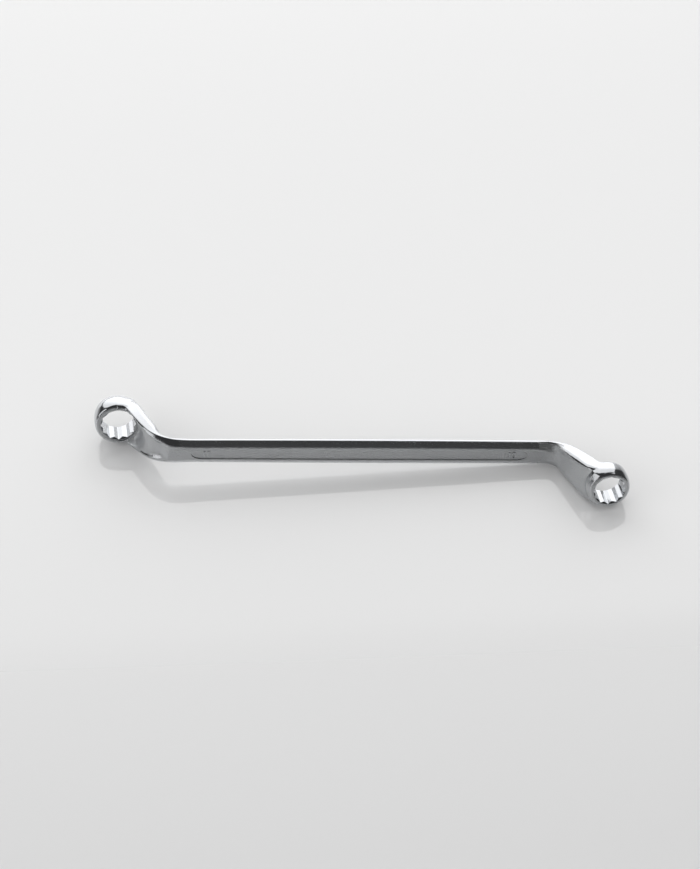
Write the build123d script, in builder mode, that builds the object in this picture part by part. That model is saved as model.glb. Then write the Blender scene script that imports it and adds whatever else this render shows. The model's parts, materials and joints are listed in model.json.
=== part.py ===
from build123d import *
import os
from math import atan2, cos, degrees, radians, sin, tan

# Double-ended ring spanner with deep offset rings: one steel forging, drawn as five zones
# that meet face to face. The tool is drawn with its shank along X and its sockets close
# to Y, and is then laid on its side as it lies on a table, on both rings and one neck.
# Each end has a side: 1 is the small end, at +X, and -1 is the large end, half a turn on.

# Whole tool
ring_span = 172.6
ring_step = 19.2
ring_lean = 5.1

# Shank
shank_width = 9.8
shank_end_width = 9.4
shank_depth = 4.5
bevel_high = 1.95
bevel_deep = 1.65

# Recessed panel on each broad face of the shank
panel_end_gap = 4.0
panel_border = 0.6
panel_recess = 0.35
panel_nose = 4.0
panel_tip = 2.2

# Necks
neck_slope = 58.5
neck_lead = 0.5
neck_bend = 11.2
foot_bend = 3.8
foot_length = 4.1
neck_bevel = 0.5
neck_inset = 0.7
neck_sink = 0.35
socket_relief = 0.2
neck_sections = 8
flare_end_share = 0.9
deepen_end_share = 0.7
bevel_start_share = 0.08
bevel_end_share = 0.5

# Large end, 11 mm across flats
large_flats = 11.0
large_outer = 17.0
large_height = 7.8
large_neck_depth = 6.0

# Small end, 10 mm across flats
small_flats = 10.0
small_outer = 15.4
small_height = 7.8
small_neck_depth = 6.0

# Both rings
socket_play = 0.1
mouth_bevel = 0.5
ring_crown = 22.0
ring_edge = 0.6

# Lying on its side
rest_roll = 13.1

twelfth_turn = 30.0


def eased_share(share, start_share, end_share):
    """How far a change has gone: 0 before its start, 1 past its end, smooth between."""
    step = min(max((share - start_share) / (end_share - start_share), 0), 1)
    return step * step * (3 - 2 * step)


def socket_reach(flats):
    """From a socket's axis to the tip of one of its twelve points."""
    return (flats + socket_play) / 2 / cos(radians(twelfth_turn))


def ring_plane(side):
    """Plane at a ring's middle: x runs outwards along the face, z out of its front."""
    lean = radians(ring_lean)
    return Plane(
        origin=(side * ring_span / 2, -side * ring_step, 0),
        x_dir=(side * cos(lean), side * sin(lean), 0),
        z_dir=(side * sin(lean), -side * cos(lean), 0),
    )


def radius_plane(side):
    """Plane through a ring's axis: x is its radius and y its height."""
    face = ring_plane(side)
    return Plane(origin=face.origin, x_dir=face.x_dir, z_dir=(0, 0, -1))


def ring_body(side, outer, height):
    """A ring before its socket is cut: flat faces, a crowned wall and rounded rims."""
    radius = outer / 2
    rim = radius - ring_crown + (ring_crown**2 - (height / 2) ** 2) ** 0.5
    face = ring_plane(side)
    with BuildPart() as body:
        with BuildSketch(radius_plane(side)):
            with BuildLine():
                Line((0, -height / 2), (rim, -height / 2))
                ThreePointArc((rim, -height / 2), (radius, 0), (rim, height / 2))
                Line((rim, height / 2), (0, height / 2))
                Line((0, height / 2), (0, -height / 2))
            make_face()
        revolve(axis=Axis(face.origin, face.z_dir))
        fillet(body.edges().filter_by(GeomType.CIRCLE), radius=ring_edge)
    return body.part


def make_ring(side, flats, outer, height):
    """A ring: its body, the 12-point socket through it and two bevelled mouths."""
    face = ring_plane(side)
    tip = socket_reach(flats)
    with BuildPart() as ring:
        add(ring_body(side, outer, height))
        with BuildSketch(face.offset(-height / 2)):
            RegularPolygon(radius=tip, side_count=6)
            RegularPolygon(radius=tip, side_count=6, rotation=twelfth_turn)
        extrude(amount=height, mode=Mode.SUBTRACT)
        with BuildSketch(radius_plane(side)):
            with BuildLine():
                Polyline(
                    (0, height / 2),
                    (tip, height / 2),
                    (tip - mouth_bevel, height / 2 - mouth_bevel),
                    (0, height / 2 - mouth_bevel),
                    close=True,
                )
            make_face()
            mirror(about=Plane.XZ)
        revolve(axis=Axis(face.origin, face.z_dir), mode=Mode.SUBTRACT)
    return ring


def neck_corners(side, height, depth):
    """Corners of a neck's middle line: the knee in line with the shank, the foot beside
    the ring and the ring's axis. The neck's back runs just under the ring's back."""
    face = ring_plane(side)
    back = (depth - height) / 2 + neck_sink
    foot = face.from_local_coords((-foot_length, 0, back))
    end = face.from_local_coords((0, 0, back))
    knee = Vector(foot.X + foot.Y / tan(radians(neck_slope)), 0)
    return knee, foot, end


def shank_end(side, height, depth):
    """Where along X the shank meets a neck: a short lead before the neck's first bend."""
    knee, foot, end = neck_corners(side, height, depth)
    return knee.X - side * (neck_lead + neck_bend * tan(radians(neck_slope) / 2))


def make_shank():
    """The handle: bowed sides, bevelled long edges and a shallow panel on each face."""
    left = shank_end(-1, large_height, large_neck_depth)
    right = shank_end(1, small_height, small_neck_depth)
    end, middle = shank_end_width / 2, shank_width / 2
    panel_half = end - bevel_high - panel_border
    panel_left, panel_right = left + panel_end_gap, right - panel_end_gap
    with BuildPart() as shank:
        with BuildSketch(Plane.XZ.offset(-shank_depth / 2)):
            with BuildLine():
                Line((right, -end), (right, end))
                ThreePointArc((right, end), ((left + right) / 2, middle), (left, end))
                Line((left, end), (left, -end))
                ThreePointArc((left, -end), ((left + right) / 2, -middle), (right, -end))
            make_face()
        extrude(amount=shank_depth)
        for which in (0, -1):
            broad = shank.faces().filter_by(Axis.Y).sort_by(Axis.Y)[which]
            bowed = broad.edges().filter_by(GeomType.CIRCLE)
            chamfer(bowed, length=bevel_high, length2=bevel_deep, reference=broad)
        with BuildSketch(Plane.XZ.offset(shank_depth / 2 - panel_recess)):
            with BuildLine():
                Polyline(
                    (panel_left + panel_nose, -panel_half),
                    (panel_right - panel_nose, -panel_half),
                    (panel_right, -panel_tip / 2),
                    (panel_right, panel_tip / 2),
                    (panel_right - panel_nose, panel_half),
                    (panel_left + panel_nose, panel_half),
                    (panel_left, panel_tip / 2),
                    (panel_left, -panel_tip / 2),
                    close=True,
                )
            make_face()
        panel = extrude(amount=shank_depth, mode=Mode.SUBTRACT)
        mirror(panel, about=Plane.XZ, mode=Mode.SUBTRACT)
    return shank


def neck_path(side, height, depth):
    """Middle line of a neck: along the shank, down its slope, then along the ring."""
    start = Vector(shank_end(side, height, depth), 0)
    knee, foot, end = neck_corners(side, height, depth)
    with BuildLine() as path:
        FilletPolyline(start, knee, foot, end, radius=[neck_bend, foot_bend])
    return path.line


def neck_slice(plane, width, depth, high, deep):
    """Bevelled rectangle across a neck: x is its depth and y its width."""
    x, y = depth / 2, width / 2
    with BuildSketch(plane) as outline:
        with BuildLine():
            Polyline(
                (x - deep, -y), (x, high - y), (x, y - high), (x - deep, y),
                (deep - x, y), (-x, y - high), (-x, high - y), (deep - x, -y),
                close=True,
            )
        make_face()
    return outline.sketch


def make_neck(side, flats, outer, height, depth):
    """An S-bend swept along its path from the shank's section to the ring's size. The
    ring's body is cut out of its end, and so is a way to the socket, which breaks
    through the foot of the slope."""
    path = neck_path(side, height, depth)
    ring_end_width = outer - 2 * neck_inset
    with BuildPart() as neck:
        for station in range(neck_sections + 1):
            share = station / neck_sections
            flare = eased_share(share, 0, flare_end_share)
            deepen = eased_share(share, 0, deepen_end_share)
            fade = eased_share(share, bevel_start_share, bevel_end_share)
            along = path % share
            add(neck_slice(
                Plane(path @ share, x_dir=along.cross(Vector(0, 0, 1)), z_dir=along),
                shank_end_width + flare * (ring_end_width - shank_end_width),
                shank_depth + deepen * (depth - shank_depth),
                bevel_high + fade * (neck_bevel - bevel_high),
                bevel_deep + fade * (neck_bevel - bevel_deep),
            ))
        sweep(path=path, multisection=True)
        add(ring_body(side, outer, height), mode=Mode.SUBTRACT)
        with BuildSketch(ring_plane(side)):
            Circle(radius=socket_reach(flats) + socket_relief)
        extrude(amount=-ring_step, mode=Mode.SUBTRACT)
    return neck


def laid_down(part):
    """The piece rolled onto its side about the line through both ring centres, then
    levelled so that both rings touch the table."""
    large_end, small_end = ring_plane(-1).origin, ring_plane(1).origin
    spine = Axis(large_end, small_end - large_end)
    across = Axis(large_end, spine.direction.cross(Vector(0, 0, 1)))
    rise = (large_outer - small_outer) / 2 * cos(radians(rest_roll))
    reach = (small_end - large_end).length
    return part.rotate(spine, -rest_roll).rotate(across, -degrees(atan2(rise, reach)))


shank = make_shank()
small_neck = make_neck(1, small_flats, small_outer, small_height, small_neck_depth)
large_neck = make_neck(-1, large_flats, large_outer, large_height, large_neck_depth)
small_ring = make_ring(1, small_flats, small_outer, small_height)
large_ring = make_ring(-1, large_flats, large_outer, large_height)

blocks = {
    "shank": shank,
    "small_neck": small_neck,
    "large_neck": large_neck,
    "small_ring": small_ring,
    "large_ring": large_ring,
}
lying = {name: laid_down(block.part) for name, block in blocks.items()}
box = Compound(list(lying.values())).bounding_box()
to_origin = Location((-box.center().X, -box.center().Y, -box.min.Z))

os.makedirs("parts", exist_ok=True)
for name, solid in lying.items():
    piece = solid.moved(to_origin)
    piece.label = name
    export_step(piece, f"parts/{name}.step")
    low, high = piece.bounding_box().min, piece.bounding_box().max
    print(name, round(piece.volume, 1), "mm3, from", low, "to", high)
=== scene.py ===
# %% [markdown]
# A ring spanner with deep offset rings lies on its side on a pale, glossy table. The real
# tool is one steel forging, plated with chromium. Its side faces are belt polished and mirror
# the room. Its broad faces are bead blasted under the plate and look satin.
# The frame comes first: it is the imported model, in metres, and every new skin is laid in the
# place of one of its nodes. All shapes below are worked out in millimetres in the tool's own
# drawing plane, with the shank along X, the offset along Y and the width along Z.

# %% Load the frame
import json
import bpy
import bmesh
import numpy as np
from math import atan2, cos, hypot, pi, radians, sin, sqrt, tan
from mathutils import Matrix, Vector


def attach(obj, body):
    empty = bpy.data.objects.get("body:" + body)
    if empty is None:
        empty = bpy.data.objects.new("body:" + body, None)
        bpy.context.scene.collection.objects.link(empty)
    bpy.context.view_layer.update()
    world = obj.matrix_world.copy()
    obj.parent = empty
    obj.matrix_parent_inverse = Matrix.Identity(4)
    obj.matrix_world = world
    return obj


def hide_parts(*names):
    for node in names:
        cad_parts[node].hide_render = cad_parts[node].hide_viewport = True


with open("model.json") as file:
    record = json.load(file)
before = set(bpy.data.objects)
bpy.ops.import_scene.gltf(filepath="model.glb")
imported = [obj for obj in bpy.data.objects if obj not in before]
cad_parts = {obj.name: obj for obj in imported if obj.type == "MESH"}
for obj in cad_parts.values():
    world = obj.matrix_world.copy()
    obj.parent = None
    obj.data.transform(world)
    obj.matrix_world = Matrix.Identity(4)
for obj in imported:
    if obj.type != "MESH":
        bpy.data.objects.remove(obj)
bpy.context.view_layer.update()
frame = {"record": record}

# %% [markdown]
# A few sizes are shared by several pieces. Every size in this file is in millimetres, unless
# its comment says otherwise. The two ends differ only in their socket, in the outside of
# their ring, and in the stretch of the neck over which it flares to the ring's width.

# %% Sizes that several pieces share
MM = 0.001
RING_X, RING_Y, RING_LEAN, RING_HEIGHT = 86.3, 19.2, radians(5.1), 7.8
SHANK_WIDTH, SHANK_END_WIDTH, SHANK_DEPTH = 9.8, 9.4, 4.5
ENDS = {
    "small": dict(side=1, flats=10.0, outer=15.4, flare=(0.0, 0.9)),
    "large": dict(side=-1, flats=11.0, outer=17.0, flare=(-0.2, 1.0)),
}
print("from socket to socket:", round(2 * hypot(RING_X, RING_Y), 1), "mm")

# %% [markdown]
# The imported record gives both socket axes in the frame. Two points and one direction fix the
# turn and the shift from the drawing plane to the frame, so nothing about the tool's pose is
# typed here.

# %% From the drawing plane to the frame
sockets = {m["name"]: m for m in frame["record"]["mounts"] if m["name"].startswith("socket")}
small_mount, large_mount = sockets["socket_10"], sockets["socket_11"]


def axes_from(along, opens):
    """Three unit vectors: along, the square part of opens, and their cross product."""
    first = along / np.linalg.norm(along)
    second = opens - first * (opens @ first)
    second = second / np.linalg.norm(second)
    return np.stack([first, second, np.cross(first, second)], axis=1)


small_centre = np.array([RING_X, -RING_Y, 0.0])
small_axis = np.array([sin(RING_LEAN), -cos(RING_LEAN), 0.0])
frame_small = np.array(small_mount["pos_m"]) / MM
frame_large = np.array(large_mount["pos_m"]) / MM
TURN = axes_from(frame_small - frame_large, np.array(small_mount["axis"])) @ axes_from(
    2 * small_centre, small_axis).T
SHIFT = frame_small - TURN @ small_centre
print("tool middle in the frame (mm):", SHIFT.round(3))


def to_frame(points):
    """Drawing-plane millimetres to metres in the frame."""
    return (points @ TURN.T + SHIFT) * MM


# %% [markdown]
# Every shape is written as a distance: below 0 inside the steel, 0 on its skin and above 0
# outside. The larger of two distances is what two shapes have in common, and the smaller is
# the two joined. Plated steel has no knife edge, so each of these formulas also rounds the
# line along which the two shapes cross.

# %% Small formulas that the shapes share
def rise(value, start, stop):
    """0 before start, 1 after stop, and t t (3 - 2 t) between them."""
    t = np.clip((value - start) / (stop - start), 0, 1)
    return t * t * (3 - 2 * t)


def fall(value, start, stop):
    """1 before start and 0 after stop: rise, walked the other way."""
    return rise(-value, -stop, -start)


def both(a, b, soft):
    """The larger of two distances, with the edge where they cross rounded over soft mm."""
    near = np.clip(soft - np.abs(a - b), 0, None) / soft
    return np.maximum(a, b) + near * near * soft / 4


def both_round(a, b, radius):
    """The larger of two distances, with the edge where they cross turned to a true arc."""
    corner = np.hypot(np.maximum(a + radius, 0), np.maximum(b + radius, 0))
    return np.minimum(np.maximum(a, b), -radius) + corner


def either(a, b, soft):
    """The smaller of two distances, with the corner where they cross filled over soft mm."""
    return -both(-a, -b, soft)


print("an edge rounded over 1 mm stands back by", both(0.0, 0.0, 1.0), "mm")

# %% [markdown]
# A neck is an S-bend: out of the shank, round the knee, down the slope, round the foot and in
# under the ring. Its middle line is three straights and two arcs, which is how a toolmaker
# draws it. A shape carried along a line needs two numbers for any point: how far along the
# line it lies, and how far off to the side. The front is the side to which the ring opens.

# %% The middle line of a neck
NECK_SLOPE, NECK_DEPTH, KNEE_BEND = radians(58.5), 6.0, 11.2
FOOT_BEND, FOOT_LENGTH, PAST_THE_RING = 5.2, 4.1, 3.0
NECK_LEAD = 0.5  # the neck's piece begins so far before the bend


def unit(v):
    """The direction of v, as a vector of length 1."""
    return v / np.linalg.norm(v)


def middle_line():
    """Straights and arcs from the middle of the shank to just past the ring's axis, in order,
    and the length up to that axis. Each ends in the length of line that lies before it."""
    out = np.array([cos(RING_LEAN), sin(RING_LEAN)])
    front = np.array([sin(RING_LEAN), -cos(RING_LEAN)])
    centre = np.array([RING_X, -RING_Y]) + front * (NECK_DEPTH - RING_HEIGHT) / 2
    foot = centre - FOOT_LENGTH * out
    knee = np.array([foot[0] + foot[1] / tan(NECK_SLOPE), 0.0])
    corners = [np.zeros(2), knee, foot, centre + PAST_THE_RING * out]
    runs, start, length = [], corners[0], 0.0
    for corner, after, radius in ((corners[1], corners[2], KNEE_BEND),
                                  (corners[2], corners[3], FOOT_BEND)):
        before, beyond = unit(corner - start), unit(after - corner)
        turn = atan2(before[0] * beyond[1] - before[1] * beyond[0], before @ beyond)
        reach = radius * tan(abs(turn) / 2)
        begin = corner - before * reach
        runs.append(("straight", start, begin, length))
        length += np.linalg.norm(begin - start)
        left = np.array([-before[1], before[0]]) * np.sign(turn)
        runs.append(("arc", begin + left * radius, radius, unit(-left), turn, length))
        length += radius * abs(turn)
        start = corner + beyond * reach
    runs.append(("straight", start, corners[3], length))
    length += np.linalg.norm(corners[3] - start)
    return runs, length - PAST_THE_RING


RUNS, RING_AT = middle_line()
BEND_AT = RUNS[1][-1]
SEAM_X = BEND_AT - NECK_LEAD
print("bend starts at", round(BEND_AT, 2), "ring axis at", round(RING_AT, 2), "mm along")


# %% Along the line, and off it
def along_and_off(x, y):
    """For each point: its length along the middle line, its offset towards the front side,
    and the two parts of the front direction there."""
    best = np.full(np.shape(x), np.inf)
    along, off, fx, fy = (np.zeros(np.shape(x)) for _ in range(4))
    for run in RUNS:
        if run[0] == "straight":
            _, a, b, length = run
            d, size = unit(b - a), np.linalg.norm(b - a)
            t = (x - a[0]) * d[0] + (y - a[1]) * d[1]
            o = (x - a[0]) * d[1] - (y - a[1]) * d[0]
            gap = np.hypot(o, t - np.clip(t, 0, size))
            s, nx, ny = length + np.clip(t, 0, size), d[1], -d[0]
        else:
            _, c, radius, first, turn, length = run
            px, py = x - c[0], y - c[1]
            angle = np.arctan2(first[0] * py - first[1] * px, first[0] * px + first[1] * py)
            angle = np.clip(angle * np.sign(turn), 0, abs(turn))
            away = np.maximum(np.hypot(px, py), 1e-9)
            o = (away - radius) * np.sign(turn)
            swing = angle * np.sign(turn)
            cx = c[0] + radius * (first[0] * np.cos(swing) - first[1] * np.sin(swing))
            cy = c[1] + radius * (first[0] * np.sin(swing) + first[1] * np.cos(swing))
            gap = np.hypot(x - cx, y - cy)
            s = length + radius * angle
            nx, ny = px / away * np.sign(turn), py / away * np.sign(turn)
        take = gap < best
        best = np.where(take, gap, best)
        along, off = np.where(take, s, along), np.where(take, o, off)
        fx, fy = np.where(take, nx, fx), np.where(take, ny, fy)
    return along, off, fx, fy


def share_of_neck(along):
    """How far down the neck: 0 where the bend starts and 1 at the ring's axis."""
    return (along - BEND_AT) / (RING_AT - BEND_AT)


print("the ring's middle lies", along_and_off(RING_X, -RING_Y)[1].round(2), "mm off the line")

# %% [markdown]
# The section that is carried along the line is a rectangle with its corners cut off. On the
# shank the cuts are wide. Down the neck they shrink to thin bevels, while the neck grows as
# wide as the ring. At the front of the knee the cuts swell before they shrink, which gives
# the knee its bright facet. The front edges of the neck are rounder than the back ones, and
# the back is dished between its edges, most of all at the knee. Written as a distance, the
# section is the largest of a few flat distances, and its edges are softly rounded.

# %% The section of shank and neck
# A pair gives the shares of the neck between which something starts and is complete.
BEVEL_HIGH, BEVEL_DEEP, THIN_BEVEL = 1.95, 1.65, 0.5
FRONT_THINS, BACK_THINS, NECK_DEEPENS, NECK_INSET = (0.1, 0.5), (0.06, 0.48), (0, 0.7), 0.6
SWELL_AT, SWELL_SPREAD, SWELL_HIGH, SWELL_DEEP, SWELL_ROUND = 0.22, 0.12, 1.2, 1.0, 0.4
EDGE_ROUND, FRONT_ROUNDER, BACK_SHARPER = 0.3, 1.5, 0.12
LESS_ROUND, LESS_ROUND_FROM = 0.6, (0.6, 0.8)
DISH_DEPTH, DISH_BORDER, DISH_WALL, DISH_FROM, DISH_NOSE = 0.5, 0.8, 1.0, 67.0, 4.0
KNEE_DEEPER, KNEE_WIDER, KNEE_ENDS = 0.9, 1.8, (0.22, 0.42)


def dish(along, share, z, width):
    """Depth of the dish in the back: full inside its border and past its nose. At the knee
    it is deeper, and its side walls are wider."""
    knee = fall(share, *KNEE_ENDS)
    border, wall = width / 2 - DISH_BORDER, DISH_WALL + KNEE_WIDER * knee
    depth = (DISH_DEPTH + KNEE_DEEPER * knee) * fall(np.abs(z), border - wall, border)
    return depth * rise(along, DISH_FROM, DISH_FROM + DISH_NOSE)


def section(x, y, z, end):
    """Distance from the skin of shank and neck: the largest of the distances to its broad
    faces, its sides and its bevels, each taken at the nearest place on the middle line."""
    along, off, _, _ = along_and_off(x, y)
    share, front = share_of_neck(along), off > 0
    bow = 1 - np.clip(along / BEND_AT, 0, 1) ** 2
    width = SHANK_END_WIDTH + bow * (SHANK_WIDTH - SHANK_END_WIDTH)
    flare = end["outer"] - 2 * NECK_INSET - SHANK_END_WIDTH
    width = width + rise(share, *end["flare"]) * flare
    depth = SHANK_DEPTH + rise(share, *NECK_DEEPENS) * (NECK_DEPTH - SHANK_DEPTH)
    fade = np.where(front, rise(share, *FRONT_THINS), rise(share, *BACK_THINS))
    swell = np.where(front, np.exp(-((share - SWELL_AT) / SWELL_SPREAD) ** 2), 0)
    high = BEVEL_HIGH + fade * (THIN_BEVEL - BEVEL_HIGH) + SWELL_HIGH * swell
    deep = BEVEL_DEEP + fade * (THIN_BEVEL - BEVEL_DEEP) + SWELL_DEEP * swell
    face = np.abs(off) - depth / 2 + np.where(off < 0, dish(along, share, z, width), 0)
    edge = np.abs(z) - width / 2
    bevel = (face * high + (edge + high) * deep) / np.hypot(high, deep)
    rounder = FRONT_ROUNDER - LESS_ROUND * rise(share, *LESS_ROUND_FROM)
    soft = EDGE_ROUND + fade * np.where(front, rounder, -BACK_SHARPER) + SWELL_ROUND * swell
    return both(both(face, bevel, soft), edge, soft)


print("neck width under the rings:",
      {label: round(end["outer"] - 2 * NECK_INSET, 1) for label, end in ENDS.items()}, "mm")

# %% [markdown]
# A ring is a profile turned round its axis: two flat faces with round rims, and a crowned
# wall that draws in to a shoulder at the front. The hole is two hexagons, one turned by 30
# degrees, which is what a 12-point broach leaves. Both mouths are bevelled, and a drill has
# cleared the way in from the back, which also cuts into the foot of the neck.

# %% The ring and its socket
RING_CROWN, BACK_RIM, FRONT_RIM, SKIN_INSET = 22.0, 1.3, 0.8, 0.01
SHOULDER, SHOULDER_FROM = 0.38, 0.8  # drawn in so far, from this height to the front face
SOCKET_PLAY, SOCKET_RELIEF, BROACH_CORNER = 0.1, 0.5, 0.15


def ring_place(x, y):
    """How far out from the ring's axis, in the drawing plane, and how high to its front."""
    dx, dy = x - RING_X, y + RING_Y
    return dx * cos(RING_LEAN) + dy * sin(RING_LEAN), dx * sin(RING_LEAN) - dy * cos(RING_LEAN)


def ring(out, high, z, outer):
    """Distance from the ring's skin: the wall is an arc about a far circle, plus the square
    of the height above the shoulder's start. Two faces cut it, with rounded rims."""
    wall = np.hypot(np.hypot(out, z) - (outer / 2 - RING_CROWN), high) - RING_CROWN
    drawn_in = np.maximum(high - SHOULDER_FROM, 0) / (RING_HEIGHT / 2 - SHOULDER_FROM)
    wall = wall + SKIN_INSET + SHOULDER * drawn_in ** 2
    body = both(wall, -high - RING_HEIGHT / 2, BACK_RIM)
    return both_round(body, high - RING_HEIGHT / 2, FRONT_RIM)


def hexagon(out, z, apothem, first_flat):
    """Distance from a hexagonal hole: the largest of its three pairs of flats."""
    flats = [np.abs(out * cos(a) + z * sin(a)) for a in first_flat + np.arange(3) * pi / 3]
    return both(both(flats[0], flats[1], BROACH_CORNER), flats[2], BROACH_CORNER) - apothem


def tip_radius(flats):
    """From the socket's axis to its 12 points: half the width across flats over cos 30."""
    return (flats + SOCKET_PLAY) / 2 / cos(pi / 6)


def socket(out, high, z, flats):
    """Distance from the hole, negative in the hole: 12 points, two mouths, one clearance."""
    apothem, tip, reach = (flats + SOCKET_PLAY) / 2, tip_radius(flats), np.hypot(out, z)
    star = np.minimum(hexagon(out, z, apothem, 0.0), hexagon(out, z, apothem, pi / 6))
    beyond = np.abs(high) - RING_HEIGHT / 2
    mouth = np.maximum((reach - tip - beyond) / sqrt(2), reach - tip)
    way = np.maximum(reach - tip - SOCKET_RELIEF, high + RING_HEIGHT / 2)
    return np.minimum(np.minimum(star, mouth), way)


print("steel between the socket's points and the wall:",
      {label: round(end["outer"] / 2 - tip_radius(end["flats"]), 2)
       for label, end in ENDS.items()}, "mm")

# %% [markdown]
# Neck and ring are one forging, so they run into each other. Behind the ring the die leaves
# room for the nut: a scoop in the neck's foot. A small fillet joins neck and ring, wider at
# the back. At the front the neck ends in a collar round the ring's wall, and a sloped web
# fills the corner under it. The web could be a wider fillet, but a fillet mirrors the room
# in one smooth sweep, and the real one shows a flat bright strip.

# %% A neck with its ring
# A pair gives two places between which a form comes in: out from the ring's axis, high to
# its front, or in from the side of its outside.
SCOOP_FLOOR, SCOOP_INSET, SCOOP_CORNER, SCOOP_RIM = -0.7, 0.1, 5.0, 0.6
SCOOP_EDGE, SCOOP_SIDE_ROUND, MOUTH_EDGE = 1.5, 1.5, 0.14
COLLAR_OUT, COLLAR_HIGH, COLLAR_SIDE = (-4.0, -0.5), (-2.0, 1.5), (1.5, 0.2)
WEB_SLOPE, WEB_SIZE, WEB_ROUND = radians(34), 1.1, 0.4
FILLET, FILLET_BEHIND, BEHIND_HIGH, BEHIND_SIDE = 0.5, 1.3, (-3.9, -2.5), (2.6, 0.6)


def within(z, outer, start, stop):
    """1 in the middle of the ring's width, falling to 0 between two lines that lie start and
    stop mm in from its outside."""
    return fall(np.abs(z), outer / 2 - start, outer / 2 - stop)


def scoop(out, high, z, outer):
    """Distance from the room that the forging leaves for the nut behind the ring, negative
    inside: a bowl turned round the socket's axis, kept within the two edges of the neck."""
    lift = -high - RING_HEIGHT / 2
    bowl = both(np.hypot(out, z) - outer / 2 + SCOOP_INSET, SCOOP_FLOOR - lift, SCOOP_CORNER)
    return both(bowl, np.abs(z) - outer / 2 + SCOOP_EDGE, SCOOP_SIDE_ROUND)


def collar(out, high, z, outer):
    """1 where the neck's front runs into the ring's wall, 0 elsewhere."""
    return fall(out, *COLLAR_OUT) * rise(high, *COLLAR_HIGH) * within(z, outer, *COLLAR_SIDE)


def end_skin(x, y, z, end):
    """Distance from the skin of a neck with its ring: the neck less its scoop, joined to the
    ring by fillet and web, cut level with the ring's front face, less the socket. The web is
    a plane between both: sin a times one distance plus cos a times the other, less a size."""
    out, high = ring_place(x, y)
    outer = end["outer"]
    neck = np.maximum(section(x, y, z, end), out)
    neck = both(neck, -scoop(out, high, z, outer), SCOOP_RIM)
    plain = ring(out, high, z, outer)
    behind = fall(high, *BEHIND_HIGH) * within(z, outer, *BEHIND_SIDE)
    web_size = WEB_SIZE * collar(out, high, z, outer)
    web = sin(WEB_SLOPE) * neck + cos(WEB_SLOPE) * plain - web_size
    body = either(neck, plain, FILLET + FILLET_BEHIND * behind)
    body = either(body, web, WEB_ROUND)
    body = np.maximum(body, high - RING_HEIGHT / 2)
    return both(body, -socket(out, high, z, end["flats"]), MOUTH_EDGE)


print("distance on the small socket's axis:",
      end_skin(RING_X, -RING_Y, 0.0, ENDS["small"]).round(2), "mm")

# %% [markdown]
# Where the neck runs into the ring, no single grid of two parameters follows the surface: it
# splits round the socket. So the end's skin is found as the place where the distance is zero.
# Points near it are moved exactly onto it by Newton's step, p - f g / (g g), with f the
# distance and g its slope. The slope also gives the normals, so the plating mirrors cleanly.

# %% Onto the skin
LEAST_SLOPE_SQUARED, LONGEST_STEP = 0.05, 0.25


def slope(distance, p, reach=0.01):
    """The slope of a distance at points p, from differences both ways along each axis."""
    parts = []
    for axis in range(3):
        step = np.zeros(3)
        step[axis] = reach
        parts.append((distance(*(p + step).T) - distance(*(p - step).T)) / (2 * reach))
    return np.stack(parts, axis=1)


def settle(distance, p, rounds=3):
    """Points moved onto the skin by Newton's step, which is never longer than a limit."""
    for _ in range(rounds):
        g = slope(distance, p)
        steepness = np.maximum((g * g).sum(1), LEAST_SLOPE_SQUARED)
        move = distance(*p.T)[:, None] * g / steepness[:, None]
        p = p - np.clip(move, -LONGEST_STEP, LONGEST_STEP)
    return p


def ball(x, y, z):
    """Distance from a ball of 5 mm radius, to try the step on."""
    return np.sqrt(x * x + y * y + z * z) - 5


print("a point beside a 5 mm ball settles at", settle(ball, np.array([[5.2, 0.3, 0.1]])).round(3))

# %% [markdown]
# The first, rough skin comes from a lattice. The distance is worked out on all of it as one
# array. Every lattice edge that crosses the skin gives a four-sided face, whose corners are
# the four cells round that edge, and a cell's corner lies in the middle of all the crossings
# on its edges.

# %% A net over the skin
def net(distance, low, high, step):
    """Corners and four-sided faces of the skin inside a box, from one array of distances."""
    lines = [np.arange(a, b, step) for a, b in zip(low, high)]
    field = distance(*np.meshgrid(*lines, indexing="ij", sparse=True))
    shape = np.array(field.shape)
    cells = int(np.prod(shape))
    stride = np.array([shape[1] * shape[2], shape[2], 1])
    total, count, faces = np.zeros((3, cells)), np.zeros(cells), []
    for axis in range(3):
        # Both ends of every lattice edge along this axis, and the edges that cross the skin.
        a = np.moveaxis(field, axis, 0)[:-1]
        b = np.moveaxis(field, axis, 0)[1:]
        where = np.argwhere((a < 0) != (b < 0))
        value_a, value_b = a[tuple(where.T)], b[tuple(where.T)]
        others = [i for i in range(3) if i != axis]
        index = where[:, np.argsort([axis, *others])]
        inner = (index[:, others[0]] > 0) & (index[:, others[1]] > 0)
        index, value_a, value_b = index[inner], value_a[inner], value_b[inner]
        point = index.astype(float)
        point[:, axis] += value_a / (value_a - value_b)
        # The four cells round each of these edges, in the order that faces outwards.
        u, v = (axis + 1) % 3, (axis + 2) % 3
        base = index @ stride
        four = np.stack([base - stride[u] - stride[v], base - stride[v], base,
                         base - stride[u]], axis=1)
        four[value_a >= 0] = four[value_a >= 0][:, ::-1]
        faces.append(four)
        flat = four.ravel()
        count += np.bincount(flat, minlength=cells)
        for k in range(3):
            total[k] += np.bincount(flat, weights=np.repeat(point[:, k], 4), minlength=cells)
    used = np.flatnonzero(count)
    number = np.zeros(cells, dtype=np.int64)
    number[used] = np.arange(len(used))
    corners = (total[:, used] / count[used]).T * step + np.array(low)
    return corners, number[np.concatenate(faces)]


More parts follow.
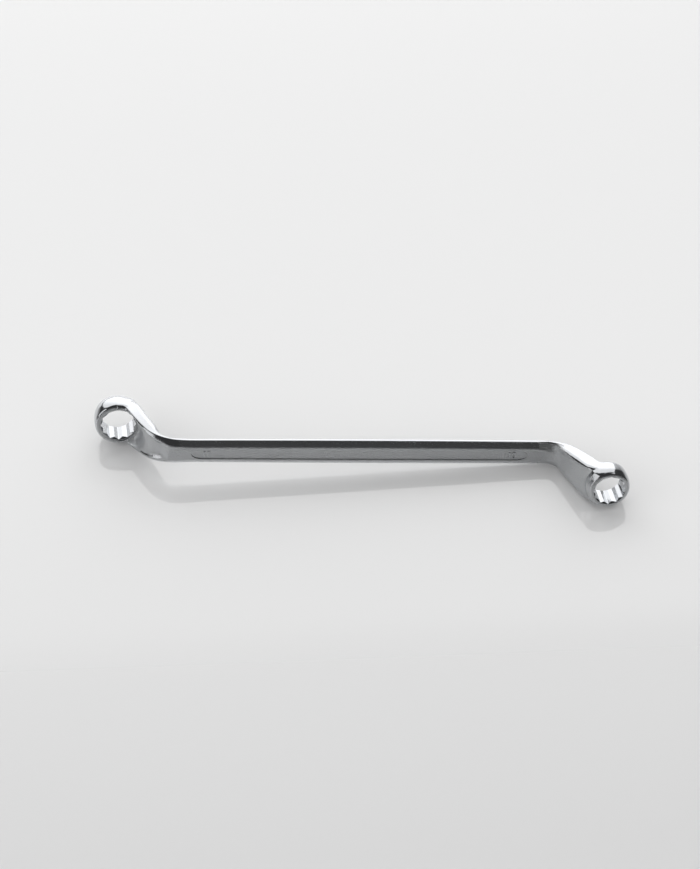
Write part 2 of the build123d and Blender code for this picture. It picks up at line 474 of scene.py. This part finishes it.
def evened(distance, p, faces, rounds=3):
    """Corners moved halfway to the middle of their neighbours, then back onto the skin."""
    a, b = faces.ravel(), np.roll(faces, -1, axis=1).ravel()
    weight = np.bincount(a, minlength=len(p)) + np.bincount(b, minlength=len(p))
    for _ in range(rounds):
        middle = np.stack([np.bincount(a, p[b, k], len(p)) + np.bincount(b, p[a, k], len(p))
                           for k in range(3)], axis=1) / np.maximum(weight, 1)[:, None]
        p = settle(distance, p + 0.5 * (middle - p), rounds=2)
    return p


print("a net over a 5 mm ball, 1 mm wide:", len(net(ball, (-6,) * 3, (6,) * 3, 1.0)[1]), "faces")

# %% [markdown]
# Each skin is closed: a flat cap lies where it meets the next zone of the forging, out of
# sight. The corner normals are written into the mesh, because they come from the formula and
# are cleaner than an average of the faces around a corner. Two numbers are kept at each
# corner for the plating: how far the surface was belt polished, and how near an edge it is.

# %% Closed meshes
WELDED, ON_THE_PLANE = 1e-5, 1e-3  # corners closer than this are one, or lie on a plane


def closed_mesh(name, points, faces, planes=()):
    """A smooth mesh of the part of a surface that lies behind every plane, closed with flat
    caps, with its faces turned outwards. A plane is a place on it and the direction in which
    the rest is cut away."""
    mesh = bpy.data.meshes.new(name)
    mesh.from_pydata(points, [], faces)
    work = bmesh.new()
    work.from_mesh(mesh)
    for place, away in planes:
        place, away = Vector(place), Vector(away)
        bmesh.ops.bisect_plane(work, geom=work.verts[:] + work.edges[:] + work.faces[:],
                               dist=WELDED, plane_co=place, plane_no=away, clear_outer=True)
        rim = [e for e in work.edges if e.is_boundary
               and all(abs((v.co - place).dot(away)) < ON_THE_PLANE for v in e.verts)]
        bmesh.ops.holes_fill(work, edges=rim, sides=0)
    loose = [v for v in work.verts if not v.link_faces]
    bmesh.ops.delete(work, geom=loose, context="VERTS")
    bmesh.ops.recalc_face_normals(work, faces=work.faces[:])
    work.to_mesh(mesh)
    work.free()
    mesh.polygons.foreach_set("use_smooth", np.ones(len(mesh.polygons), dtype=bool))
    return mesh


def read(mesh, what, field, width, kind=float):
    """One field of a mesh's corners, faces or face corners as an array."""
    data = getattr(mesh, what)
    values = np.zeros(len(data) * width, dtype=kind)
    data.foreach_get(field, values)
    return values.reshape(-1, width) if width > 1 else values


def keep(mesh, title, values):
    """One number at each corner, kept in the mesh under a title for the material to read."""
    mesh.attributes.new(title, "FLOAT", "POINT").data.foreach_set("value", values)


# %% [markdown]
# Each piece tells the frame two things: the body on which it rides, and the node in whose place
# it stands, which is hidden. The size figures have no node of their own, so they stand for none.

# %% Pieces of the tool
EDGE_REACH, EDGE_BENDS, CAP_SIDES = 0.45, (0.02, 0.2), 12
pieces = []


def placed(name, mesh, node=None):
    """A piece of the tool from its finished mesh, and what the frame has to know of it."""
    piece = bpy.data.objects.new(name, mesh)
    bpy.context.scene.collection.objects.link(piece)
    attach(piece, "root")
    if node:
        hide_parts(node)
    pieces.append(piece)
    sides = read(mesh, "polygons", "loop_total", 1, np.int32)
    print(name, len(mesh.vertices), "corners,", int((sides - 2).sum()), "triangles")


def plated(name, mesh, distance, polish, node):
    """A piece from a drawing-plane mesh, with normals from the distance's slope, and with a
    polish and an edge value at each corner. Over a wider reach the slope shortens near an
    edge, and the edge value is how much. Caps, which have many sides, keep flat normals."""
    p = read(mesh, "vertices", "co", 3)
    g = slope(distance, p)
    normal = g / np.maximum(np.linalg.norm(g, axis=1), 1e-9)[:, None]
    bend = 1 - np.clip(np.linalg.norm(slope(distance, p, EDGE_REACH), axis=1), 0, 1)
    corner = read(mesh, "loops", "vertex_index", 1, np.int32)
    sides = read(mesh, "polygons", "loop_total", 1, np.int32)
    flat = np.repeat(read(mesh, "polygons", "normal", 3), sides, axis=0)
    is_cap = np.repeat(sides > CAP_SIDES, sides)[:, None]
    mesh.vertices.foreach_set("co", to_frame(p).ravel())
    keep(mesh, "polish", polish(p, normal))
    keep(mesh, "edge", rise(bend, *EDGE_BENDS))
    mesh.update()
    mesh.normals_split_custom_set(np.where(is_cap, flat, normal[corner]) @ TURN.T)
    mesh.update()
    placed(name, mesh, node)


# %% [markdown]
# The handle follows the plain way: a profile carried along a line. Its grid has one parameter
# along X and one round the section, with more lines near the edges. On both broad faces the
# forging die left a shallow panel with rounded ends, drawn as a depth that depends on the
# place on the face.

# %% The panel in the shank
PANEL_END_GAP, PANEL_BORDER, PANEL_RECESS, PANEL_NOSE = 4.0, 0.6, 0.27, 4.0
PANEL_WALL, LEAST_ROOT = (-0.05, 0.3), 0.15
PANEL_END = SEAM_X - PANEL_END_GAP
PANEL_HALF = SHANK_END_WIDTH / 2 - BEVEL_HIGH - PANEL_BORDER


def panel_depth(x, z):
    """Depth of the panel: full inside its outline, nothing outside, eased over its wall.
    The outline is two straight lines, closed by half an ellipse at each end."""
    q = np.clip((np.abs(x) - (PANEL_END - PANEL_NOSE)) / PANEL_NOSE, 0, 1)
    root = np.sqrt(np.clip(1 - q * q, 0, 1))
    lean = np.hypot(1, PANEL_HALF * q / (PANEL_NOSE * np.maximum(root, LEAST_ROOT)))
    inset = (PANEL_HALF * root - np.abs(z)) / lean
    return PANEL_RECESS * rise(inset, *PANEL_WALL) * (np.abs(x) < PANEL_END)


def shank_skin(x, y, z):
    """Distance from the shank's skin: the section, with its faces sunk by the panel. Within
    the shank its front and back are alike, so one side of the section serves for both."""
    push = panel_depth(x, z) * np.sign(y)
    y = np.abs(y + push) * -np.sign(x)
    return np.where(x > 0, section(np.abs(x), y, z, ENDS["small"]),
                    section(np.abs(x), y, z, ENDS["large"]))


print("panel:", round(2 * PANEL_END, 1), "x", round(2 * PANEL_HALF, 1), "mm")

# %% The grid of the shank
FINE, COARSE, FINE_LENGTH = 0.16, 0.6, 5
LINES_ROUND = [44, 12, 8, 12, 44, 12, 8, 12]  # on each side of the eight-sided outline
BOWS = (1.5, 2.7)  # as far from the middle plane a line starts to bow, and bows in full


def spread(start, stop, count):
    """Places from start up to, but not at, stop, closer together near both."""
    return start + (stop - start) * (1 - np.cos(pi * np.arange(count) / count)) / 2


def shank_mesh():
    """Grid over x and the way round: an eight-sided outline, scaled to the bowed width."""
    turn_over = PANEL_END - FINE_LENGTH
    fine = np.arange(turn_over, SEAM_X, FINE)
    x = np.concatenate([-fine[::-1], np.arange(-turn_over, turn_over, COARSE), fine])
    x = np.unique(np.concatenate([x, [-SEAM_X, SEAM_X]]).round(4))
    half, end = SHANK_DEPTH / 2, SHANK_END_WIDTH / 2
    outline = [(-half, end - BEVEL_HIGH), (-half, BEVEL_HIGH - end),
               (BEVEL_DEEP - half, -end), (half - BEVEL_DEEP, -end),
               (half, BEVEL_HIGH - end), (half, end - BEVEL_HIGH),
               (half - BEVEL_DEEP, end), (BEVEL_DEEP - half, end)]
    sides = list(zip(outline, outline[1:] + outline[:1], LINES_ROUND))
    round_y, round_z = (np.concatenate([spread(a[k], b[k], n) for a, b, n in sides])
                        for k in (0, 1))
    rows, columns = len(x), len(round_y)
    grid = np.stack(np.broadcast_arrays(x[:, None], round_y[None], round_z[None]), axis=2)
    bow = (SHANK_WIDTH - SHANK_END_WIDTH) / 2 * (1 - (x[:, None] / SEAM_X) ** 2)
    grid[:, :, 2] += bow * np.sign(round_z)[None] * rise(np.abs(round_z), *BOWS)[None]
    start = grid.reshape(-1, 3)
    points = settle(shank_skin, start, rounds=4)
    points[:, 0] = start[:, 0]
    i, j = np.meshgrid(np.arange(rows - 1), np.arange(columns), indexing="ij")
    k = (j + 1) % columns
    quads = np.stack([i * columns + j, i * columns + k, (i + 1) * columns + k,
                      (i + 1) * columns + j], axis=2).reshape(-1, 4)
    caps = [list(range(columns)), list(range(rows * columns - 1, (rows - 1) * columns - 1, -1))]
    return closed_mesh("shank_skin", points, quads.tolist() + caps)


print("lines round the shank:", sum(LINES_ROUND))

# %% The shank
BEVEL_TURNS, SIDE_TURNS = (0.4, 0.6), (0.84, 0.95)  # sines of the turn from a broad face


def sine(cosine):
    """The sine of an angle from its cosine: the root of 1 less the cosine's square."""
    return np.sqrt(np.clip(1 - cosine ** 2, 0, 1))


def shank_polish(p, normal):
    """0 on the blasted broad faces, half on the bevels and 1 on the belt-polished sides."""
    turned = sine(normal[:, 1])
    return 0.5 * rise(turned, *BEVEL_TURNS) + 0.5 * rise(turned, *SIDE_TURNS)


plated("shank_skin", shank_mesh(), shank_skin, shank_polish, "shank")

# %% [markdown]
# A belt polishes the sides of a neck and the wall of a ring, and a broach leaves the socket
# bright. The broad faces and the scoop keep the blasted look. So the polish of a corner
# follows from where its normal points: the more it turns away from the broad faces, the
# brighter. The front edges of a neck are polished later in that turn than the others are.

# %% Where an end is polished
# Turns are sines again. The other pairs are places along the end, or distances.
TURNS, TURNS_LATER, LATER_UNTIL = (0.4, 0.7), (0.2, 0.22), (-12.5, -10.0)
NECK_UNTIL, RING_FROM = (-6.5, -3.0), (-9.5, -7.5)
FACET_AT, FACET_REACH, FACET_DULLER = 0.24, (0.05, 0.2), 0.25
BEHIND_RING, OFF_SCOOP, OFF_WAY = (0.5, 0.1), (0.3, 0.8), (0.02, 0.12)


def in_scoop(out, high, z, end):
    """1 on the scoop's blasted floor, 0 elsewhere: it lies behind the ring, near the scoop's
    own skin and outside the drilled way."""
    back, way = -RING_HEIGHT / 2, tip_radius(end["flats"]) + SOCKET_RELIEF
    behind = fall(high, back - BEHIND_RING[0], back - BEHIND_RING[1])
    near = fall(np.abs(scoop(out, high, z, end["outer"])), *OFF_SCOOP)
    return behind * near * rise(np.hypot(out, z), way + OFF_WAY[0], way + OFF_WAY[1])


def end_polish(x, y, z, nx, ny, end):
    """1 where a belt or a broach has been, 0 on flat faces and in the scoop, from the place
    and the normal of each corner. The knee's bright facet is a little duller than a side."""
    along, off, fx, fy = along_and_off(x, y)
    out, high = ring_place(x, y)
    later = np.where(off > 0, 1 - rise(out, *LATER_UNTIL), 0)
    off_neck = rise(sine(fx * nx + fy * ny), TURNS[0] + TURNS_LATER[0] * later,
                    TURNS[1] + TURNS_LATER[1] * later)
    off_ring = rise(sine(sin(RING_LEAN) * nx - cos(RING_LEAN) * ny), *TURNS)
    on_neck, on_ring = fall(out, *NECK_UNTIL), rise(out, *RING_FROM)
    turned = off_neck * (1 - on_ring) + on_ring * off_ring * (1 - on_neck * (1 - off_neck))
    facet = fall(np.abs(share_of_neck(along) - FACET_AT), *FACET_REACH)
    duller = FACET_DULLER * np.where(off > 0, facet, 0)
    return turned * (1 - in_scoop(out, high, z, end)) * (1 - duller)


print("polish where the skin has turned by 20, 35 and 50 degrees:",
      rise(np.sin(np.radians([20, 35, 50])), *TURNS).round(2))

# %% [markdown]
# Both ends share one set of formulas. The large end is the small one with other sizes, given
# half a turn about the middle of the tool. Each end is one net, cut apart just outside the
# socket, so neck and ring meet without a step.

# %% Necks and rings
LATTICE = 0.18
CUT_OUT = 7.1
SPARE_ROUND, SPARE_FRONT, SPARE_BACK = 1, 6.5, 4.0  # how far the lattice reaches past an end
ring_away = np.array([cos(RING_LEAN), sin(RING_LEAN), 0.0])
cut_place = small_centre - CUT_OUT * ring_away
ZONES = {
    "neck": ([((SEAM_X, 0, 0), (-1, 0, 0)), (cut_place, ring_away)], "satin_chrome"),
    "ring": ([(cut_place, -ring_away)], "polished_chrome"),
}


def end_pieces(label, end):
    """The neck and the ring of one end, cut from one net over the end's skin."""
    side, reach = end["side"], end["outer"] / 2 + SPARE_ROUND
    spin = np.array([side, side, 1.0])

    def skin(x, y, z):
        return end_skin(x, y, z, end)

    def turned(x, y, z):
        return end_skin(side * x, side * y, z, end)

    def polish(p, normal):
        (x, y, z), (nx, ny, _) = (p * spin).T, (normal * spin).T
        return end_polish(x, y, z, nx, ny, end)

    corners, faces = net(skin, (SEAM_X - 3 * LATTICE, -RING_Y - SPARE_FRONT, -reach),
                         (RING_X + reach, SPARE_BACK, reach), LATTICE)
    corners = evened(skin, settle(skin, corners), faces)
    for zone, (planes, slot) in ZONES.items():
        mesh = closed_mesh(f"{label}_{zone}_skin", corners, faces, planes)
        mesh.vertices.foreach_set("co", (read(mesh, "vertices", "co", 3) * spin).ravel())
        mesh.update()
        plated(f"{label}_{zone}_skin", mesh, turned, polish, f"{label}_{zone}")


for label, end in ENDS.items():
    end_pieces(label, end)

# %% [markdown]
# The size of each socket stands in the panel beside it, in small raised figures with round
# tops, as a forging die leaves them. Text made from a font has flat tops and sharp walls, so
# the figures are half-round ridges carried along the strokes of each numeral.

# %% Size figures
FIGURE_HIGH, FIGURE_STROKE, FIGURE_STEP, FIGURE_X = 2.3, 0.26, 1.45, 54.3
FIGURE_POLISH, FIGURE_SUNK, BAR_SIDES, STROKE_STEPS = 0.75, 0.02, 12, 25
# A stroke is its points, in figure heights, and whether it closes on itself.
ONE = [([(0.0, -0.5), (0.0, 0.5)], False), ([(-0.27, 0.24), (0.0, 0.5)], False)]
once_round = np.linspace(0, 2 * pi, 29)[:-1]
NOUGHT = [(np.stack([0.29 * np.cos(once_round), 0.5 * np.sin(once_round)], axis=1), True)]


def ridge(points, closed):
    """A round bar along a flat path: place + r cos a across + r sin a up, over the path and
    the angle a. The radius r shrinks as a circle does towards each open end."""
    points = np.asarray(points) * FIGURE_HIGH
    if closed:
        ahead = np.roll(points, -1, axis=0) - np.roll(points, 1, axis=0)
        radius = np.full(len(points), FIGURE_STROKE)
    else:
        stroke, share = points[1] - points[0], np.linspace(0, 1, STROKE_STEPS)
        points = points[0] + stroke * share[:, None]
        ahead = np.broadcast_to(points[-1] - points[0], points.shape)
        near = np.minimum(share, 1 - share) * np.linalg.norm(stroke) + 0.01
        short = np.clip(1 - near / FIGURE_STROKE, 0, None)
        radius = FIGURE_STROKE * np.sqrt(np.clip(1 - short ** 2, 0, 1))
    count = len(points)
    across = np.stack([-ahead[:, 1], ahead[:, 0]], axis=1)
    across = across / np.linalg.norm(across, axis=1)[:, None]
    angle = np.arange(BAR_SIDES) * (2 * pi / BAR_SIDES)
    flat = points[:, None] + across[:, None] * (radius[:, None] * np.cos(angle))[:, :, None]
    up = radius[:, None] * np.sin(angle)
    corners = np.concatenate([flat, up[:, :, None]], axis=2).reshape(-1, 3)
    i, j = np.meshgrid(np.arange(count if closed else count - 1), np.arange(BAR_SIDES),
                       indexing="ij")
    k, n = (j + 1) % BAR_SIDES, (i + 1) % count
    faces = np.stack([i * BAR_SIDES + j, i * BAR_SIDES + k, n * BAR_SIDES + k,
                      n * BAR_SIDES + j], axis=2).reshape(-1, 4).tolist()
    if not closed:
        last = count * BAR_SIDES
        faces += [list(range(BAR_SIDES)), list(range(last - 1, last - BAR_SIDES - 1, -1))]
    return corners, faces


def size_figures(name, middle, figures):
    """Both sets of figures of one size, on the floor of the panel on each broad face."""
    corners, faces, base = [], [], 0
    floor = SHANK_DEPTH / 2 - PANEL_RECESS - FIGURE_SUNK
    for face in (-1, 1):
        for place, strokes in enumerate(figures):
            shift = (place - (len(figures) - 1) / 2) * FIGURE_STEP
            for points, closed in strokes:
                part, sides = ridge(points, closed)
                x = middle - face * (part[:, 0] + shift)
                corners.append(np.stack([x, face * (floor + part[:, 2]), part[:, 1]], axis=1))
                faces += [[base + v for v in side] for side in sides]
                base += len(part)
    mesh = closed_mesh(name, to_frame(np.concatenate(corners)), faces)
    keep(mesh, "polish", np.full(len(mesh.vertices), FIGURE_POLISH))
    placed(name, mesh)


size_figures("figures_10", FIGURE_X, [ONE, NOUGHT])
size_figures("figures_11", -FIGURE_X, [ONE, ONE])

# %% [markdown]
# The plating is one material. Chromium over blasted steel gives the broad faces a soft, grey
# sheen, and over belt-polished steel it is close to a mirror. Two materials would meet in a
# hard line that the real tool doesn't show, so the polish value, kept at each corner, goes
# from one finish to the other.

# %% Colour and node helpers
def linear(code):
    """An sRGB hex colour as linear red, green, blue and full alpha."""
    parts = np.array([int(code[i:i + 2], 16) for i in (0, 2, 4)]) / 255
    low = parts / 12.92
    high = ((parts + 0.055) / 1.055) ** 2.4
    return [float(v) for v in np.where(parts <= 0.04045, low, high)] + [1.0]


def add(tree, kind, settings=None, sockets=None, links=None):
    """One node of a kind, with its settings, the values of its sockets, and its incoming
    links, each as the input's name or number and the output that feeds it."""
    node = tree.nodes.new(kind)
    for name, value in (settings or {}).items():
        setattr(node, name, value)
    for name, value in (sockets or {}).items():
        node.inputs[name].default_value = value
    for name, source in (links or {}).items():
        tree.links.new(source, node.inputs[name])
    return node


def new_material(name):
    """A material with an empty node tree."""
    material = bpy.data.materials.new(name)
    material.use_nodes = True
    material.node_tree.nodes.clear()
    return material


print("middle grey 808080 in linear light:", round(linear("808080")[0], 3))

# %% Chromium plate
# Real blasting leaves pits of about 0.05 mm, less than a pixel, so the grain is drawn ten
# times as coarse. Belt lines are drawn 0.25 mm apart and 50 times as long, and the cloudy
# patches, where the belt pressed more or less, are 4.5 mm wide.
GRAIN, GRAIN_HEIGHT, HAIR, CLOUD = 0.5 * MM, 0.5 * MM, 0.25 * MM, 4.5 * MM
HAIR_DRAWN_OUT, HAIR_SHARE = (0.02, 1.0, 1.0), 0.6
BLASTED_COLOUR, POLISHED_COLOUR = "CDCFD1", "C6C8CB"
ROUGH_BLASTED, ROUGH_POLISHED, ROUGH_VARIES, EDGE_SMOOTHED = 0.33, 0.05, 0.06, -0.06
BUMP_BLASTED, BUMP_POLISHED = 0.65, 0.03


def chrome_plate(name):
    """Chromium: roughness, colour and grain go from satin to bright with the polish value.
    Roughness also varies with belt lines and clouds, and is least along worn edges."""
    material = new_material(name)
    tree = material.node_tree
    place = add(tree, "ShaderNodeTexCoord").outputs["Object"]
    polish = add(tree, "ShaderNodeAttribute", {"attribute_name": "polish"}).outputs["Fac"]
    edge = add(tree, "ShaderNodeAttribute", {"attribute_name": "edge"}).outputs["Fac"]
    colour = add(tree, "ShaderNodeMix", {"data_type": "RGBA"},
                 {6: linear(BLASTED_COLOUR), 7: linear(POLISHED_COLOUR)}, {"Factor": polish})
    grain = add(tree, "ShaderNodeTexNoise", {}, {"Scale": 1 / GRAIN, "Detail": 2.0},
                {"Vector": place})
    cloud = add(tree, "ShaderNodeTexNoise", {}, {"Scale": 1 / CLOUD, "Detail": 3.0},
                {"Vector": place})
    drawn = add(tree, "ShaderNodeMapping", {}, {"Scale": HAIR_DRAWN_OUT}, {"Vector": place})
    hair = add(tree, "ShaderNodeTexNoise", {}, {"Scale": 1 / HAIR, "Detail": 2.0},
               {"Vector": drawn.outputs[0]})
    lines = add(tree, "ShaderNodeMath", {"operation": "MULTIPLY_ADD"}, {1: HAIR_SHARE},
                {0: hair.outputs["Fac"], 2: cloud.outputs["Fac"]})
    rough = add(tree, "ShaderNodeMapRange", {},
                {"To Min": ROUGH_BLASTED, "To Max": ROUGH_POLISHED}, {"Value": polish})
    vary = add(tree, "ShaderNodeMath", {"operation": "MULTIPLY_ADD"}, {1: ROUGH_VARIES},
               {0: lines.outputs[0], 2: rough.outputs[0]})
    worn = add(tree, "ShaderNodeMath", {"operation": "MULTIPLY_ADD"}, {1: EDGE_SMOOTHED},
               {0: edge, 2: vary.outputs[0]})
    relief = add(tree, "ShaderNodeMapRange", {},
                 {"To Min": BUMP_BLASTED, "To Max": BUMP_POLISHED}, {"Value": polish})
    bump = add(tree, "ShaderNodeBump", {}, {"Distance": GRAIN_HEIGHT},
               {"Strength": relief.outputs[0], "Height": grain.outputs["Fac"]})
    shader = add(tree, "ShaderNodeBsdfPrincipled", {}, {"Metallic": 1.0},
                 {"Base Color": colour.outputs[2], "Roughness": worn.outputs[0],
                  "Normal": bump.outputs["Normal"]})
    add(tree, "ShaderNodeOutputMaterial", links={"Surface": shader.outputs[0]})
    return material


plate = chrome_plate("chromium_plate_on_blasted_and_polished_steel")
for piece in pieces:
    piece.data.materials.append(plate)
print("plated pieces:", len(pieces))

# %% [markdown]
# The table is a pale laminate board under a clear gloss, in which the tool's mirror image
# shows. It could be a plain diffuse sheet, but then the tool would seem to float. Towards the
# front the board's colour is a little darker: this is painted shade, for the light that falls
# off towards the front. Its gloss also goes dull there, so the softbox's edge, which the board
# mirrors there, blurs into a soft change of tone.

# %% Table
TABLE_HALF = 9.0  # metres, as are the two stretches of Y below
# The front colour is painted shade: the board's colour darkens over this stretch of Y, as if the
# light fell off towards the front.
BOARD_COLOUR, FRONT_PAINTED_SHADE_COLOUR, PAINTED_SHADE_SPAN = "E9E9E9", "DEDEDE", (0.02, -0.16)
GLOSSY, DULL, DULLS, LACQUER_IOR = 0.035, 0.42, (-0.05, -0.11), 1.6


def table():
    """A large flat square at the height on which the tool rests."""
    far = TABLE_HALF
    mesh = bpy.data.meshes.new("table")
    mesh.from_pydata([(-far, -far, 0), (far, -far, 0), (far, far, 0), (-far, far, 0)], [],
                     [(0, 1, 2, 3)])
    board = bpy.data.objects.new("table", mesh)
    bpy.context.scene.collection.objects.link(board)
    material = new_material("pale_glossy_laminate_board")
    tree = material.node_tree
    place = add(tree, "ShaderNodeTexCoord").outputs["Object"]
    depth = add(tree, "ShaderNodeSeparateXYZ", links={0: place}).outputs["Y"]
    # How far into the painted shade at the front, from 0 to 1.
    front = add(tree, "ShaderNodeMapRange", {},
                {"From Min": PAINTED_SHADE_SPAN[0], "From Max": PAINTED_SHADE_SPAN[1]}, {"Value": depth})
    colour = add(tree, "ShaderNodeMix", {"data_type": "RGBA"},
                 {6: linear(BOARD_COLOUR), 7: linear(FRONT_PAINTED_SHADE_COLOUR)},
                 {"Factor": front.outputs[0]})
    rough = add(tree, "ShaderNodeMapRange", {"interpolation_type": "SMOOTHSTEP"},
                {"From Min": DULLS[0], "From Max": DULLS[1], "To Min": GLOSSY,
                 "To Max": DULL}, {"Value": depth})
    shader = add(tree, "ShaderNodeBsdfPrincipled", {}, {"IOR": LACQUER_IOR, "Coat Weight": 1.0},
                 {"Base Color": colour.outputs[2], "Roughness": rough.outputs[0],
                  "Coat Roughness": rough.outputs[0]})
    add(tree, "ShaderNodeOutputMaterial", links={"Surface": shader.outputs[0]})
    mesh.materials.append(material)


table()

# %% [markdown]
# Two softboxes, a small lamp and a soft ceiling light the tool. The polished sides that face
# up and back mirror the softbox behind and turn white. The one on the left gives the knee and
# the web under the collar their bright patches. The ceiling only brightens the table: in the
# photograph the faces that look up and to the front mirror a dim room, so no mirror ray sees
# it. The lamps stand metres away, which keeps the table evenly lit.

# %% Lamps
# Where each lamp stands, how wide and how high it is, in metres, and its radiance.
LAMPS = {
    "softbox_behind": ((-0.24, 1.70, 1.03), 3.0, 2.1, 1.15),
    "softbox_left": ((-2.08, -0.50, 1.05), 1.45, 1.75, 0.98),
    "lamp_right": ((0.9, 0.1, 1.7), 0.35, 0.35, 2.5),
    "soft_ceiling": ((0.0, -0.5, 5.0), 8.0, 8.0, 0.43),
}


def softbox(name, place, wide, high, radiance):
    """An area lamp that faces the tool. Its radiance is the brightness that a perfect mirror
    would show, so its power is radiance times area times pi."""
    lamp = bpy.data.lights.new(name, "AREA")
    lamp.shape, lamp.size, lamp.size_y = "RECTANGLE", wide, high
    lamp.energy = radiance * wide * high * pi
    box = bpy.data.objects.new(name, lamp)
    box.location = place
    box.rotation_euler = (-Vector(place)).to_track_quat("-Z", "Y").to_euler()
    bpy.context.scene.collection.objects.link(box)
    print(name, round(lamp.energy, 1), "watts")
    return box


boxes = {name: softbox(name, *lamp) for name, lamp in LAMPS.items()}
boxes["soft_ceiling"].visible_glossy = False
boxes["soft_ceiling"].visible_camera = False

# %% [markdown]
# Round the table stands a room, made of light alone. Soft light comes from all low
# directions, a little more from behind. Mirrors see a dim room with a pale back wall, and
# the camera would see the walls' own pale colour.

# %% The room
# Each strength is a smooth step along one axis of the ray's direction: the axis, where the
# step starts and stops, and the strength before and after it.
ROOM = {"by height": ("Z", 0.6, 0.85, 0.95, 0.05), "by depth": ("Y", -0.6, 0.7, 0.75, 1.2),
        "back wall": ("Y", 0.74, 0.9, 0.05, 0.7)}
WALL_COLOUR = "E9E9E9"


def world_light():
    """A world whose strength depends on the kind of ray: what reaches a matt surface is the
    product of two steps, and mirrors and the camera have strengths of their own."""
    world = bpy.data.worlds.new("room_with_pale_walls")
    bpy.context.scene.world = world
    world.use_nodes = True
    tree = world.node_tree
    tree.nodes.clear()
    way = add(tree, "ShaderNodeTexCoord").outputs["Generated"]
    parts = add(tree, "ShaderNodeSeparateXYZ", links={0: way}).outputs
    strength = {}
    for title, (axis, start, stop, first, last) in ROOM.items():
        step = add(tree, "ShaderNodeMapRange", {"interpolation_type": "SMOOTHSTEP"},
                   {"From Min": start, "From Max": stop, "To Min": first, "To Max": last},
                   {"Value": parts[axis]})
        strength[title] = step.outputs["Result"]
    soft = add(tree, "ShaderNodeMath", {"operation": "MULTIPLY"},
               links={0: strength["by height"], 1: strength["by depth"]})
    white = {"Color": linear("FFFFFF")}
    shown = add(tree, "ShaderNodeBackground", {}, white, {"Strength": soft.outputs[0]})
    mirrored = add(tree, "ShaderNodeBackground", {}, white, {"Strength": strength["back wall"]})
    seen = add(tree, "ShaderNodeBackground", {}, {"Color": linear(WALL_COLOUR), "Strength": 1.0})
    rays = add(tree, "ShaderNodeLightPath").outputs
    for ray, other in (("Is Glossy Ray", mirrored), ("Is Camera Ray", seen)):
        shown = add(tree, "ShaderNodeMixShader",
                    links={0: rays[ray], 1: shown.outputs[0], 2: other.outputs[0]})
    add(tree, "ShaderNodeOutputWorld", links={0: shown.outputs[0]})
    print("nodes in the room's light:", len(tree.nodes))


world_light()
bpy.context.scene.view_settings.view_transform = "Standard"

# %% [markdown]
# The camera's place and lens come from a fit to the outline, the socket points and the mirror
# image in the photograph. It looks from a long way off through a long lens, so the near and
# the far side of the tool come out almost equally large.

# %% Camera
CAMERA_LIFT, CAMERA_TURN, CAMERA_FAR, LENS = radians(48.357), radians(-2.686), 844.95, 97.56
TARGET_RIGHT, TARGET_UP, FILM = -3.4617, 11.5931, 36.0


def photo_camera():
    """A camera that looks at the tool from the photograph's height and distance. Its three
    axes are right, up and back, and its place is the target plus back times the distance."""
    back = np.array([sin(CAMERA_TURN) * cos(CAMERA_LIFT), -cos(CAMERA_TURN) * cos(CAMERA_LIFT),
                     sin(CAMERA_LIFT)])
    right = np.array([cos(CAMERA_TURN), sin(CAMERA_TURN), 0.0])
    up = np.cross(back, right)
    foot = np.array([SHIFT[0], SHIFT[1], 0.0])
    place = foot + right * TARGET_RIGHT + up * TARGET_UP + back * CAMERA_FAR
    lens = bpy.data.cameras.new("photo_camera")
    lens.lens, lens.sensor_width, lens.sensor_fit = LENS, FILM, "AUTO"
    lens.clip_start, lens.clip_end = 0.01, 20.0
    camera = bpy.data.objects.new("photo_camera", lens)
    turn = Matrix([list(row) for row in np.stack([right, up, back], axis=1)])
    camera.matrix_world = Matrix.Translation(Vector(place * MM)) @ turn.to_4x4()
    bpy.context.scene.collection.objects.link(camera)
    bpy.context.scene.camera = camera
    print("camera at", place.round(1), "mm")


photo_camera()

# %% The end
bpy.context.view_layer.update()
